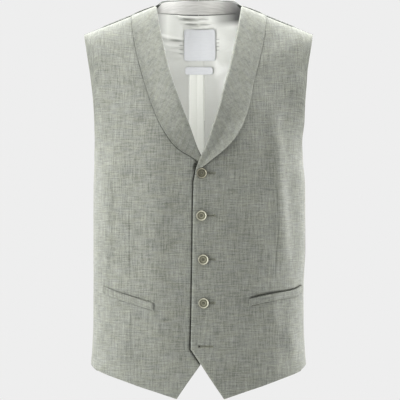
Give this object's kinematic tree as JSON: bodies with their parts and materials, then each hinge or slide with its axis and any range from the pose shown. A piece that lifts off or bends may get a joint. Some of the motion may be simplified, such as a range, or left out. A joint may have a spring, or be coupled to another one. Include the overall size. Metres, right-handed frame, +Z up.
{
  "type": "suit waistcoat",
  "caption": "Single-breasted suit waistcoat with a shawl collar, slanted welt pockets, pointed fronts and a plain back, filled out with no wearer.",
  "frame": {"origin": "midway between the two neck points, where the shoulder seams meet the neckline: where the wearer's shoulders hold it", "axes": "+Z up, the fronts face -Y, +X is the wearer's left"},
  "size_m": [0.366, 0.2696, 0.6352],
  "materials": {
    "linen": "matt plain weave in a grey-green mix with slubs",
    "satin": "smooth ivory satin lining with a soft sheen",
    "back_satin": "smooth grey-green satin, darker than the fronts",
    "neck_band": "plain pale grey lining cloth",
    "horn": "horn-coloured resin, polished rim and matt dish",
    "label": "woven satin label, left bare"
  },
  "bodies": {
    "root": {"front_left": "linen", "front_right": "linen", "collar_left": "linen", "collar_right": "linen", "welt_left": "linen", "welt_right": "linen", "back_left": "back_satin", "back_right": "back_satin", "back_lining": "satin", "back_neck_band": "neck_band", "label_main": "label", "label_small": "label", "button_1": "horn", "button_2": "horn", "button_3": "horn", "button_4": "horn", "button_5": "horn"}
  },
  "joints": []
}
